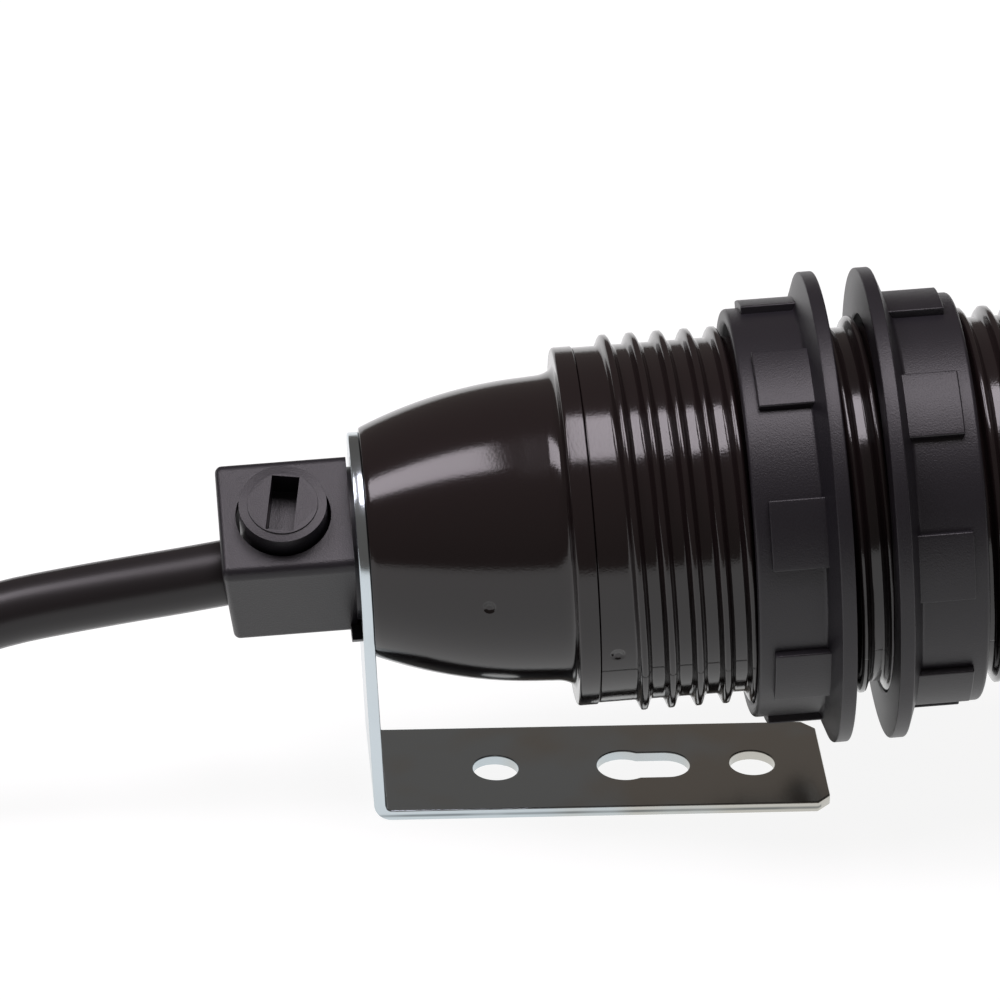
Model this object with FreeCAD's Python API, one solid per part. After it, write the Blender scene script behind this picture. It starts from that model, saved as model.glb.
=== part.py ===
"""Lamp holder: a threaded-skirt holder for small screw lamps on a bent steel bracket, with its lead.

The frame: X runs along the bracket's base towards the lamp mouth, Y away from the front, Z up.
The origin lies on the underside of the base, midway between the two round screw holes.
The holder's own pieces are drawn along the lamp axis: x is the station, counted from near the bracket's
leg, y and z are across, and z leans back with that leg.
"""
import FreeCAD, Part
import math
import os
from FreeCAD import Matrix, Placement, Rotation, Vector

# Bracket: one zinc-plated steel strip, bent once
SHEET = 0.85
BASE_WIDTH = 11.5
BASE_END_X = 15.0
LEG_FOOT_X = -18.99
LEG_STATION = 0.25
BEND_RADIUS = 0.5
LEG_LEAN = 4.0
AXIS_HEIGHT = 20.5
HEAD_RADIUS = 8.1
NECK_BLEND = 11.0
CORNER_CUT = 1.0
SCREW_HOLE_RADIUS = 1.7
SCREW_HOLE_SPACING = 19.3
KEYHOLE_HEAD_RADIUS = 2.03
KEYHOLE_SLOT_RADIUS = 1.73
KEYHOLE_TRAVEL = 3.2

# Nipple thread that clamps the bracket between the cord grip and the cap
NIPPLE_RADIUS = 5.0
NIPPLE_CLEARANCE = 0.15
NIPPLE_BORE_RADIUS = 3.25
NIPPLE_LENGTH = 6.3
NIPPLE_CHAMFER = 0.5

# Cord grip: a square moulded block on a thin round seat, with a tab below
BLOCK_SIDE = 9.66
BLOCK_END = -10.45
BLOCK_EDGE = 0.8
BLOCK_TURN = 60.5
ENTRY_DRAFT = 3.2
ENTRY_EDGE = 0.5
SEAT_RADIUS = 5.6
SEAT_HEIGHT = 0.25
TAB_RADIUS = 6.85
TAB_THICKNESS = 0.75
TAB_DROP = 0.44
TAB_TOP = -5.4
GRIP_BORE_RADIUS = 3.85
GRIP_BORE_END = 0.6
MOUTH_RADIUS = 4.4
MOUTH_DEPTH = 2.6

# Clamp screw in the cord grip
CLAMP_STATION = -5.7
CLAMP_RADIUS = 3.2
CLAMP_CLEARANCE = 0.28
CLAMP_TIP = 2.4
CLAMP_RISE = 1.55
CLAMP_DISC_RADIUS = 2.56
CLAMP_DISC_STEP = 0.12
CLAMP_SLOT_WIDTH = 2.0
CLAMP_SLOT_LENGTH = 4.5
CLAMP_SLOT_DEPTH = 2.3
CLAMP_SLOT_TURN = 10.0

# Cap: the glossy dome
CAP_END_RADIUS = 8.45
CAP_MID_RADIUS = 10.45
CAP_FULL_RADIUS = 11.17
CAP_DOME_LENGTH = 13.6
CAP_EDGE = 0.15
RIM_START = 14.7
RIM_RADIUS = 13.15
RIM_EDGE = 0.25
SEAM_STATION = 16.2
CAP_WALL = 1.6
CAP_FLOOR = 6.5
CAP_NECK_RADIUS = 11.35
CAP_NECK_BORE = 9.75
CAP_NECK_END = 21.5

# Shell: the barrel, ribbed at the pitch of its outside thread
SEAM_GAP = 0.05
THREAD_ROOT_RADIUS = 13.03
THREAD_CREST_RADIUS = 13.82
THREAD_PITCH = 2.0
THREAD_FIRST_CREST = 19.05
THREAD_END = 52.4
RIB_ROOT_WIDTH = 1.2
RIB_CREST_WIDTH = 0.45
LIP_RADIUS = 12.8
MOUTH_STATION = 54.0
SHELL_REAR_CLEARANCE = 0.15
SHELL_BORE_RADIUS = 10.2
SHELL_SHOULDER_CLEARANCE = 0.1
MOUTH_CHAMFER = 0.5

# Shade rings: two alike, flange to flange
RING_LENGTH = 6.8
RING_BARREL_RADIUS = 15.0
RING_BORE_CLEARANCE = 0.13
RING_CHAMFER = 0.4
FLANGE_RADIUS = 17.3
FLANGE_RIM = 1.05
FLANGE_CONE_END = 1.9
LUG_COUNT = 8
LUG_WIDTH_ANGLE = 19.0
LUG_RADIUS = 15.57
LUG_SETBACK = 1.1
INNER_RING_FLANGE_FACE = 34.25
OUTER_RING_FLANGE_FACE = 37.3
INNER_RING_TURN = 23.2
OUTER_RING_TURN = 11.0

# Insulator with the contacts
INSERT_FLANGE_RADIUS = 11.2
INSERT_FLANGE_THICKNESS = 1.6
INSERT_TUBE_RADIUS = 9.2
INSERT_TUBE_BORE = 7.6
INSERT_TUBE_END = 45.0
SOCKET_FLOOR = 26.0
DECK_FLOOR = 20.4
WEB_START = 14.6
WEB_HALF_WIDTH = 3.0
WEB_HALF_HEIGHT = 6.5
FIT_CLEARANCE = 0.05
SLEEVE_RADIUS = 7.45
SLEEVE_WALL = 0.35
SLEEVE_START = 29.2
SLEEVE_END = 43.0

# Terminals: one pillar each side of the insulator's web
TERMINAL_DEPTH = 3.6
TERMINAL_HEIGHT = 5.2
TERMINAL_LENGTH = 5.0
TERMINAL_HOLE_RADIUS = 1.0
TERMINAL_HOLE_DEPTH = 4.0
TAIL_THICKNESS = 0.6
TAIL_WIDTH = 2.6
SLEEVE_TAIL_OFFSET = 7.0
SCREW_SHANK_RADIUS = 1.2
SCREW_HEAD_RADIUS = 2.0
SCREW_HEAD_HEIGHT = 1.4
SCREW_SLOT_WIDTH = 0.6
SCREW_SLOT_DEPTH = 0.7
SCREW_HEAD_GAP = 0.4

# Centre contact: a sprung strip riveted to the socket floor
CONTACT_WIDTH = 3.6
CONTACT_THICKNESS = 0.4
CONTACT_ROOT_LENGTH = 3.0
CONTACT_ROOT_OUTER = 6.2
CONTACT_RISE = 2.4
CONTACT_TIP = -2.6
RIVET_RADIUS = 0.7
RIVET_HEAD_RADIUS = 1.2
RIVET_HEAD_HEIGHT = 0.5

# Lead: round sheath, two cores, a tied coil and a flat two-pin plug
CORD_DIAMETER = 4.8
SHEATH_END = 2.5
CORE_RADIUS = 1.1
CORE_SPREAD = 1.15
CORE_FAN_LENGTH = 4.5
CONDUCTOR_RADIUS = 0.6
STRIPPED_LENGTH = 3.0
COIL_NEAR_X = -78.0
COIL_RUN = 92.0
COIL_FOLD_RADIUS = 14.4
COIL_LAYERS = 5
TURNS_PER_LAYER = 1.1
TURN_PITCH = 4.9
TIE_THICKNESS = 0.6
TIE_WIDTH = 7.0
TIE_X = -159.0
PLUG_WIDTH = 35.3
PLUG_THICKNESS = 13.7
PLUG_FRONT_LENGTH = 9.0
PLUG_TAPER_LENGTH = 17.0
PLUG_REAR_RADIUS = 5.2
RELIEF_LENGTH = 20.0
RELIEF_END_RADIUS = 3.1
RELIEF_ROOT_RADIUS = 4.7
PIN_RADIUS = 2.0
PIN_LENGTH = 19.0
PIN_SPACING = 18.6
PIN_SEAT = 6.0

# Routes of the lead, chosen by hand from the grip to the coil and from the coil to the plug
LEAD_ROUTE = [
    (-30.4, -1.25, 18.72),
    (-39.0, -1.7, 17.52),
    (-48.0, -2.1, 15.93),
    (-57.0, -3.3, 12.3),
    (-65.5, -6.3, 8.0),
    (-74.0, -10.6, 4.8),
    (-82.5, -15.2, 3.5),
    (-91.0, -18.3, 3.25),
    (-100.2, -19.45, 3.25),
]
TAIL_ROUTE = [
    (-192.2, 14.4, 22.65),
    (-183.0, 13.6, 23.0),
    (-174.0, 10.2, 24.5),
    (-165.0, 5.0, 27.1),
    (-156.0, 1.0, 29.0),
    (-146.6, 0.0, 29.6),
]
ROUTE_ARC_SHARE = 0.45

AXIS = Vector(1, 0, 0)
LEAN = math.radians(LEG_LEAN)


def holder_placement():
    """Where the stations along the lamp axis begin, and how far the axis tips up."""
    climb = (AXIS_HEIGHT - SHEET * math.sin(LEAN)) / math.cos(LEAN)
    foot_x = LEG_FOOT_X + SHEET * math.cos(LEAN) - climb * math.sin(LEAN) - LEG_STATION / math.cos(LEAN)
    return Placement(Vector(foot_x, 0, AXIS_HEIGHT), Rotation(Vector(0, 1, 0), -LEG_LEAN))


HOLDER = holder_placement()


def placed(shape):
    """A piece drawn along the lamp axis, moved to its place on the bracket."""
    return shape.transformed(HOLDER.Matrix, True)


def profile(points):
    """Face in the x-z plane through (station, radius) points; four numbers are an arc's middle and end."""
    edges = []
    first = last = Vector(points[0][0], 0, points[0][1])
    for point in points[1:]:
        if len(point) == 4:
            middle = Vector(point[0], 0, point[1])
            end = Vector(point[2], 0, point[3])
            edges.append(Part.Arc(last, middle, end).toShape())
        else:
            end = Vector(point[0], 0, point[1])
            edges.append(Part.makeLine(last, end))
        last = end
    edges.append(Part.makeLine(last, first))
    return Part.Face(Part.Wire(edges))


def turned(points):
    """Solid of revolution about the lamp axis."""
    return profile(points).revolve(Vector(), AXIS, 360)


def quarter(start, end, centre):
    """The middle and end of a quarter-round from start to end about centre."""
    radius = math.hypot(start[0] - centre[0], start[1] - centre[1])
    across = (start[0] + end[0] - 2 * centre[0], start[1] + end[1] - 2 * centre[1])
    reach = radius / math.hypot(*across)
    return (centre[0] + across[0] * reach, centre[1] + across[1] * reach, end[0], end[1])


def rod(radius, start, end, y=0.0, z=0.0):
    """Round bar along the lamp axis."""
    return Part.makeCylinder(radius, end - start, Vector(start, y, z), AXIS)


def block(x0, x1, y0, y1, z0, z1):
    """Upright box between two corners."""
    return Part.makeBox(x1 - x0, y1 - y0, z1 - z0, Vector(x0, y0, z0))


def around(shape, degrees):
    """A copy turned about the lamp axis, from the front towards the top."""
    copy = shape.copy()
    copy.rotate(Vector(), AXIS, -degrees)
    return copy


def polygon_prism(corners, depth):
    """Prism on a flat outline."""
    outline = [Vector(*corner) for corner in corners]
    return Part.Face(Part.makePolygon(outline + outline[:1])).extrude(depth)


def bracket_section():
    """The bent strip as a wide L, before its outline is cut."""
    along = Vector(-math.sin(LEAN), 0, math.cos(LEAN))
    inward = Vector(math.cos(LEAN), 0, math.sin(LEAN))
    outer_corner = Vector(LEG_FOOT_X, 0, 0)
    inner_climb = SHEET * (1 - math.sin(LEAN)) / math.cos(LEAN)
    inner_corner = outer_corner + inward * SHEET + along * inner_climb
    leg_length = AXIS_HEIGHT + 2 * HEAD_RADIUS
    corners = [
        Vector(BASE_END_X, 0, 0),
        outer_corner,
        outer_corner + along * leg_length,
        outer_corner + along * leg_length + inward * SHEET,
        inner_corner,
        Vector(BASE_END_X, 0, SHEET),
    ]
    width = 2 * HEAD_RADIUS + BASE_WIDTH
    for corner in corners:
        corner.y = -width / 2
    section = Part.Face(Part.makePolygon(corners + corners[:1])).extrude(Vector(0, width, 0))

    def bend_edge(point):
        return [e for e in section.Edges if e.distToShape(Part.Vertex(point.x, 0, point.z))[0] < SHEET / 100]

    section = section.makeFillet(BEND_RADIUS + SHEET, bend_edge(outer_corner))
    return section.makeFillet(BEND_RADIUS, bend_edge(inner_corner))


def leg_outline():
    """The leg seen along the lamp axis: a straight strip that swells into a round head."""
    half = BASE_WIDTH / 2
    drop = math.sqrt((HEAD_RADIUS + NECK_BLEND) ** 2 - (half + NECK_BLEND) ** 2)
    share = HEAD_RADIUS / (HEAD_RADIUS + NECK_BLEND)
    head_y = (half + NECK_BLEND) * share
    head_z = -drop * share
    blend = math.atan2(drop, half + NECK_BLEND) / 2
    mid_y = half + NECK_BLEND - NECK_BLEND * math.cos(blend)
    mid_z = -drop + NECK_BLEND * math.sin(blend)
    depth = SHEET * 3
    low = -AXIS_HEIGHT - SHEET

    def at(y, z):
        return Vector(-depth, y, z)

    edges = [
        Part.makeLine(at(-half, low), at(half, low)),
        Part.makeLine(at(half, low), at(half, -drop)),
        Part.Arc(at(half, -drop), at(mid_y, mid_z), at(head_y, head_z)).toShape(),
        Part.Arc(at(head_y, head_z), at(0, HEAD_RADIUS), at(-head_y, head_z)).toShape(),
        Part.Arc(at(-head_y, head_z), at(-mid_y, mid_z), at(-half, -drop)).toShape(),
        Part.makeLine(at(-half, -drop), at(-half, low)),
    ]
    return placed(Part.Face(Part.Wire(edges)).extrude(AXIS * depth * 2))


def base_outline():
    """The base seen from above, with its two free corners cut."""
    half = BASE_WIDTH / 2
    left = LEG_FOOT_X - SHEET
    corners = [
        (left, -half, -SHEET),
        (BASE_END_X - CORNER_CUT, -half, -SHEET),
        (BASE_END_X, -half + CORNER_CUT, -SHEET),
        (BASE_END_X, half - CORNER_CUT, -SHEET),
        (BASE_END_X - CORNER_CUT, half, -SHEET),
        (left, half, -SHEET),
    ]
    return polygon_prism(corners, Vector(0, 0, SHEET * 4))


def base_bore(x, radius):
    """Round hole through the base."""
    return Part.makeCylinder(radius, SHEET * 4, Vector(x, 0, -SHEET))


def make_bracket():
    bracket = bracket_section().common(leg_outline().fuse(base_outline()))
    slot = block(0, KEYHOLE_TRAVEL, -KEYHOLE_SLOT_RADIUS, KEYHOLE_SLOT_RADIUS, -SHEET, SHEET * 3)
    nipple_hole = rod(NIPPLE_RADIUS + NIPPLE_CLEARANCE, -SHEET * 2, SHEET * 2)
    holes = [
        base_bore(-SCREW_HOLE_SPACING / 2, SCREW_HOLE_RADIUS),
        base_bore(SCREW_HOLE_SPACING / 2, SCREW_HOLE_RADIUS),
        base_bore(0, KEYHOLE_HEAD_RADIUS),
        base_bore(KEYHOLE_TRAVEL, KEYHOLE_SLOT_RADIUS),
        slot,
        placed(nipple_hole),
    ]
    return bracket.cut(holes).removeSplitter()


def clamp_frame(shape):
    """A piece drawn with z along the clamp screw, turned to face the grip's screw side."""
    copy = around(shape, BLOCK_TURN - 90)
    copy.translate(Vector(CLAMP_STATION, 0, 0))
    return copy


def make_cord_grip():
    half = BLOCK_SIDE / 2
    leg_back = LEG_STATION - SHEET
    inner_end = leg_back - SEAT_HEIGHT
    body = block(BLOCK_END, inner_end, -half, half, -half, half)
    long_edges = [e for e in body.Edges if abs(e.tangentAt(e.FirstParameter).x) > 0.99]
    body = body.makeFillet(BLOCK_EDGE, long_edges)
    slope = math.tan(math.radians(ENTRY_DRAFT)) * BLOCK_SIDE
    draft = polygon_prism(
        [(BLOCK_END - 1, -half - 1, -half), (BLOCK_END + slope, -half - 1, -half),
         (BLOCK_END, -half - 1, half), (BLOCK_END - 1, -half - 1, half)],
        Vector(0, BLOCK_SIDE + 2, 0),
    )
    body = body.cut(draft)
    end_face = min(body.Faces, key=lambda face: face.CenterOfMass.x)
    body = body.makeFillet(ENTRY_EDGE, end_face.OuterWire.Edges)
    body = around(body, BLOCK_TURN - 90)
    seat = rod(SEAT_RADIUS, inner_end, leg_back)
    tab_disc = rod(TAB_RADIUS, leg_back - TAB_THICKNESS, leg_back, z=-TAB_DROP)
    below = block(leg_back - SHEET, leg_back + SHEET, -TAB_RADIUS, TAB_RADIUS, -2 * TAB_RADIUS, TAB_TOP)
    tab = tab_disc.common(below)
    nipple = turned([
        (inner_end, 0), (inner_end, NIPPLE_RADIUS), (NIPPLE_LENGTH - NIPPLE_CHAMFER, NIPPLE_RADIUS),
        (NIPPLE_LENGTH, NIPPLE_RADIUS - NIPPLE_CHAMFER), (NIPPLE_LENGTH, 0),
    ])
    bore_end = inner_end - GRIP_BORE_END
    bore = turned([
        (BLOCK_END - MOUTH_DEPTH, 0), (BLOCK_END - MOUTH_DEPTH, MOUTH_RADIUS), (BLOCK_END, MOUTH_RADIUS),
        (BLOCK_END + MOUTH_DEPTH, GRIP_BORE_RADIUS), (bore_end, GRIP_BORE_RADIUS),
        (bore_end, NIPPLE_BORE_RADIUS), (NIPPLE_LENGTH, NIPPLE_BORE_RADIUS), (NIPPLE_LENGTH, 0),
    ])
    clamp_hole = clamp_frame(Part.makeCylinder(CLAMP_RADIUS + CLAMP_CLEARANCE, BLOCK_SIDE))
    return body.fuse([seat, tab, nipple]).removeSplitter().cut([bore, clamp_hole])


def make_grip_screw():
    face = BLOCK_SIDE / 2
    collar_top = face + CLAMP_RISE
    top = collar_top + CLAMP_DISC_STEP
    screw = Part.makeCylinder(CLAMP_RADIUS, collar_top - CLAMP_TIP, Vector(0, 0, CLAMP_TIP))
    disc = Part.makeCylinder(CLAMP_DISC_RADIUS, top - CLAMP_TIP, Vector(0, 0, CLAMP_TIP))
    screw = screw.fuse(disc).removeSplitter()
    reach = CLAMP_SLOT_LENGTH / 2
    slot = block(-CLAMP_SLOT_WIDTH / 2, CLAMP_SLOT_WIDTH / 2, -reach, reach, top - CLAMP_SLOT_DEPTH, top + 1)
    slot.rotate(Vector(), Vector(0, 0, 1), -CLAMP_SLOT_TURN)
    return clamp_frame(screw.cut(slot))


def make_cap():
    dome_end = (CAP_DOME_LENGTH, CAP_FULL_RADIUS)
    rim_blend = RIM_START - CAP_DOME_LENGTH
    rim_foot = (RIM_START, CAP_FULL_RADIUS + rim_blend)
    rim_edge_start = (RIM_START, RIM_RADIUS - RIM_EDGE)
    rim_edge_end = (RIM_START + RIM_EDGE, RIM_RADIUS)
    hole = NIPPLE_RADIUS + NIPPLE_CLEARANCE / 2
    inner_end = CAP_FULL_RADIUS - CAP_WALL
    return turned([
        (LEG_STATION, hole), (LEG_STATION, CAP_END_RADIUS - CAP_EDGE),
        (LEG_STATION + CAP_EDGE, CAP_END_RADIUS), (CAP_DOME_LENGTH / 2, CAP_MID_RADIUS, *dome_end),
        quarter(dome_end, rim_foot, (CAP_DOME_LENGTH, CAP_FULL_RADIUS + rim_blend)),
        rim_edge_start,
        quarter(rim_edge_start, rim_edge_end, (RIM_START + RIM_EDGE, RIM_RADIUS - RIM_EDGE)),
        (SEAM_STATION, RIM_RADIUS), (SEAM_STATION, CAP_NECK_RADIUS), (CAP_NECK_END, CAP_NECK_RADIUS),
        (CAP_NECK_END, CAP_NECK_BORE), (SEAM_STATION - CAP_WALL, CAP_NECK_BORE), (CAP_DOME_LENGTH, inner_end),
        (CAP_FLOOR + CAP_EDGE, CAP_MID_RADIUS - CAP_WALL), (CAP_FLOOR, CAP_MID_RADIUS - CAP_WALL - CAP_EDGE),
        (CAP_FLOOR, hole),
    ])


def shoulder_station():
    """Where the shell's inner shoulder faces the insulator's flange."""
    return CAP_NECK_END + SEAM_GAP + INSERT_FLANGE_THICKNESS + SHELL_SHOULDER_CLEARANCE


def thread_ribs():
    """Profile points of the ribs along the barrel, one for each turn of the thread."""
    count = int((THREAD_END - RIB_ROOT_WIDTH / 2 - THREAD_FIRST_CREST) / THREAD_PITCH) + 1
    points = []
    for rib in range(count):
        crest = THREAD_FIRST_CREST + rib * THREAD_PITCH
        points += [
            (crest - RIB_ROOT_WIDTH / 2, THREAD_ROOT_RADIUS),
            (crest - RIB_CREST_WIDTH / 2, THREAD_CREST_RADIUS),
            (crest + RIB_CREST_WIDTH / 2, THREAD_CREST_RADIUS),
            (crest + RIB_ROOT_WIDTH / 2, THREAD_ROOT_RADIUS),
        ]
    return points


def make_shell():
    start = SEAM_STATION + SEAM_GAP
    rear_bore = CAP_NECK_RADIUS + SHELL_REAR_CLEARANCE
    shoulder = shoulder_station()
    return turned([
        (start, rear_bore), (start, THREAD_ROOT_RADIUS), *thread_ribs(), (THREAD_END, THREAD_ROOT_RADIUS),
        (THREAD_END, LIP_RADIUS), (MOUTH_STATION - MOUTH_CHAMFER, LIP_RADIUS),
        (MOUTH_STATION, LIP_RADIUS - MOUTH_CHAMFER), (MOUTH_STATION, SHELL_BORE_RADIUS + MOUTH_CHAMFER),
        (MOUTH_STATION - MOUTH_CHAMFER, SHELL_BORE_RADIUS), (shoulder, SHELL_BORE_RADIUS),
        (shoulder, rear_bore),
    ])


def make_shade_ring(flange_face, barrel_side, turn):
    """Ring with its flange's outer face at a station and its barrel to one side (-1 or 1)."""
    bore = THREAD_CREST_RADIUS + RING_BORE_CLEARANCE
    flange_back = flange_face + barrel_side * FLANGE_RIM
    cone_end = flange_face + barrel_side * FLANGE_CONE_END
    end = flange_face + barrel_side * RING_LENGTH
    end_edge = end - barrel_side * RING_CHAMFER
    ring = turned([
        (flange_face, bore), (flange_face, FLANGE_RADIUS), (flange_back, FLANGE_RADIUS),
        (cone_end, RING_BARREL_RADIUS), (end_edge, RING_BARREL_RADIUS),
        (end, RING_BARREL_RADIUS - RING_CHAMFER), (end, bore),
    ])
    lug_end = end - barrel_side * LUG_SETBACK
    half = math.radians(LUG_WIDTH_ANGLE / 2)
    start = min(flange_back, lug_end)
    length = abs(lug_end - flange_back)
    wedge_reach = FLANGE_RADIUS * 1.2
    wedge = polygon_prism(
        [(start, 0, 0), (start, -wedge_reach * math.cos(half), -wedge_reach * math.sin(half)),
         (start, -wedge_reach * math.cos(half), wedge_reach * math.sin(half))],
        Vector(length, 0, 0),
    )
    band = rod(LUG_RADIUS, start, start + length).cut(rod(bore, start, start + length))
    lug = band.common(wedge)
    lugs = [around(lug, turn + step * 360 / LUG_COUNT) for step in range(LUG_COUNT)]
    return ring.fuse(lugs).removeSplitter()


def terminal_box(side):
    """Corner stations and offsets of one terminal block."""
    inner = WEB_HALF_WIDTH + FIT_CLEARANCE
    outer = inner + TERMINAL_DEPTH
    end = DECK_FLOOR - FIT_CLEARANCE
    low, high = sorted((side * inner, side * outer))
    return end - TERMINAL_LENGTH, end, low, high


def terminal_centre(side):
    return side * (WEB_HALF_WIDTH + FIT_CLEARANCE + TERMINAL_DEPTH / 2)


def tail_box(side, end, clearance):
    """The strip that leads from a terminal forward through the insulator."""
    web_side = WEB_HALF_WIDTH + FIT_CLEARANCE + TAIL_THICKNESS / 2
    centre = web_side if side > 0 else -SLEEVE_TAIL_OFFSET
    half = TAIL_THICKNESS / 2 + clearance
    reach = TAIL_WIDTH / 2 + clearance
    start = DECK_FLOOR - FIT_CLEARANCE * 2
    return block(start, end, centre - half, centre + half, -reach, reach)


def tail_end(side):
    """The live strip ends flush with the socket floor, the neutral one under the sleeve."""
    return SOCKET_FLOOR if side > 0 else SLEEVE_START - FIT_CLEARANCE


def make_insulator():
    flange_start = CAP_NECK_END + SEAM_GAP
    flange_end = flange_start + INSERT_FLANGE_THICKNESS
    body = turned([
        (DECK_FLOOR, 0), (DECK_FLOOR, INSERT_TUBE_RADIUS), (flange_start, INSERT_TUBE_RADIUS),
        (flange_start, INSERT_FLANGE_RADIUS), (flange_end, INSERT_FLANGE_RADIUS),
        (flange_end, INSERT_TUBE_RADIUS), (INSERT_TUBE_END, INSERT_TUBE_RADIUS),
        (INSERT_TUBE_END, INSERT_TUBE_BORE), (SOCKET_FLOOR, INSERT_TUBE_BORE), (SOCKET_FLOOR, 0),
    ])
    web = block(WEB_START, DECK_FLOOR, -WEB_HALF_WIDTH, WEB_HALF_WIDTH, -WEB_HALF_HEIGHT, WEB_HALF_HEIGHT)
    body = body.fuse(web).removeSplitter()
    cuts = [tail_box(side, INSERT_TUBE_END / 2 + tail_end(side) / 2, FIT_CLEARANCE) for side in (-1, 1)]
    rivet_y = rivet_offset()
    cuts.append(rod(RIVET_RADIUS + FIT_CLEARANCE, DECK_FLOOR, SOCKET_FLOOR, y=rivet_y))
    return body.cut(cuts)


def make_sleeve():
    bore = SLEEVE_RADIUS - SLEEVE_WALL
    return rod(SLEEVE_RADIUS, SLEEVE_START, SLEEVE_END).cut(rod(bore, SLEEVE_START, SLEEVE_END))


def make_terminal(side):
    start, end, low, high = terminal_box(side)
    centre = terminal_centre(side)
    half = TERMINAL_HEIGHT / 2
    body = block(start, end, low, high, -half, half)
    tail = tail_box(side, tail_end(side), 0)
    if side < 0:
        outer = -SLEEVE_TAIL_OFFSET - TAIL_THICKNESS / 2
        bridge = block(end - TAIL_THICKNESS, end, outer, centre, -TAIL_WIDTH / 2, TAIL_WIDTH / 2)
        body = body.fuse(bridge)
    body = body.fuse(tail).removeSplitter()
    wire_hole = rod(TERMINAL_HOLE_RADIUS, start, start + TERMINAL_HOLE_DEPTH, y=centre)
    mouth = Vector(screw_station(), centre, 0)
    radius = SCREW_SHANK_RADIUS + FIT_CLEARANCE
    screw_hole = Part.makeCylinder(radius, TERMINAL_DEPTH, mouth, Vector(0, side, 0))
    return body.cut([wire_hole, screw_hole])


def screw_station():
    return DECK_FLOOR - FIT_CLEARANCE - TERMINAL_LENGTH + TERMINAL_HOLE_DEPTH / 2


def make_terminal_screw(side):
    """Cheese-head screw that presses the conductor in its pillar."""
    tip = terminal_centre(1) + CONDUCTOR_RADIUS + FIT_CLEARANCE
    seat = WEB_HALF_WIDTH + FIT_CLEARANCE + TERMINAL_DEPTH + SCREW_HEAD_GAP
    top = seat + SCREW_HEAD_HEIGHT
    shank = Part.makeCylinder(SCREW_SHANK_RADIUS, top - tip, Vector(0, 0, tip))
    head = Part.makeCylinder(SCREW_HEAD_RADIUS, SCREW_HEAD_HEIGHT, Vector(0, 0, seat))
    slot = block(-SCREW_HEAD_RADIUS, SCREW_HEAD_RADIUS, -SCREW_SLOT_WIDTH / 2, SCREW_SLOT_WIDTH / 2,
                 top - SCREW_SLOT_DEPTH, top + 1)
    screw = shank.fuse(head).removeSplitter().cut(slot)
    screw.rotate(Vector(), AXIS, -90 * side)
    screw.translate(Vector(screw_station(), 0, 0))
    return screw


def rivet_offset():
    return CONTACT_ROOT_OUTER - RIVET_HEAD_RADIUS


def make_centre_contact():
    """Strip with a flat root over the live tail and a bowed tongue over the socket's middle."""
    root_inner = CONTACT_ROOT_OUTER - CONTACT_ROOT_LENGTH - RIVET_HEAD_RADIUS
    floor = SOCKET_FLOOR + FIT_CLEARANCE
    top = floor + CONTACT_THICKNESS
    crown = floor + CONTACT_RISE
    bow = CONTACT_TIP / 2

    def at(station, y):
        return Vector(station, y, -CONTACT_WIDTH / 2)

    upper_tip = at(crown - CONTACT_THICKNESS, CONTACT_TIP)
    lower_tip = at(crown - 2 * CONTACT_THICKNESS, CONTACT_TIP)
    under_crown = at(crown - CONTACT_THICKNESS, 0)
    edges = [
        Part.makeLine(at(floor, CONTACT_ROOT_OUTER), at(top, CONTACT_ROOT_OUTER)),
        Part.makeLine(at(top, CONTACT_ROOT_OUTER), at(top, root_inner)),
        Part.makeLine(at(top, root_inner), at(crown, 0)),
        Part.Arc(at(crown, 0), at(crown + CONTACT_THICKNESS, bow), upper_tip).toShape(),
        Part.makeLine(upper_tip, lower_tip),
        Part.Arc(lower_tip, at(crown, bow), under_crown).toShape(),
        Part.makeLine(under_crown, at(floor, root_inner)),
        Part.makeLine(at(floor, root_inner), at(floor, CONTACT_ROOT_OUTER)),
    ]
    strip = Part.Face(Part.Wire(edges)).extrude(Vector(0, 0, CONTACT_WIDTH))
    return strip.cut(rod(RIVET_RADIUS + FIT_CLEARANCE, floor - 1, top + 1, y=rivet_offset()))


def make_rivet():
    """Rivet that holds the centre contact, closed on the deck side."""
    y = rivet_offset()
    seat = SOCKET_FLOOR + FIT_CLEARANCE + CONTACT_THICKNESS + FIT_CLEARANCE
    head = rod(RIVET_HEAD_RADIUS, seat, seat + RIVET_HEAD_HEIGHT, y=y)
    shank = rod(RIVET_RADIUS, DECK_FLOOR + FIT_CLEARANCE, seat, y=y)
    return head.fuse(shank).removeSplitter()


def route_wire(points):
    """Straight runs joined by tangent arcs, as large as the runs allow; returns the wire and the radii."""
    spots = [Vector(*point) for point in points]
    edges = []
    radii = []
    last = spots[0]
    for before, corner, after in zip(spots, spots[1:], spots[2:]):
        incoming = corner - before
        outgoing = after - corner
        reach = ROUTE_ARC_SHARE * min(incoming.Length, outgoing.Length)
        turn = incoming.getAngle(outgoing)
        start = corner - incoming.normalize() * reach
        end = corner + outgoing.normalize() * reach
        radius = reach / math.tan(turn / 2)
        bisector = (start + end) * 0.5 - corner
        centre_distance = math.hypot(radius, reach)
        middle = corner + bisector.normalize() * (centre_distance - radius)
        edges.append(Part.makeLine(last, start))
        edges.append(Part.Arc(start, middle, end).toShape())
        radii.append(radius)
        last = end
    edges.append(Part.makeLine(last, spots[-1]))
    return Part.Wire(edges), radii


def tube(points, radius, label):
    """Round solid along a route; prints its bend radii and how its volume compares with its length."""
    wire, radii = route_wire(points)
    start = Vector(*points[0])
    circle = Part.Wire(Part.makeCircle(radius, start, Vector(*points[1]) - start))
    solid = wire.makePipeShell([circle], True, False)
    expected = math.pi * radius ** 2 * wire.Length
    print(label, "bend radii", [round(r, 1) for r in radii], "length", round(wire.Length, 1),
          "volume ratio", round(solid.Volume / expected, 4))
    return solid


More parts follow.
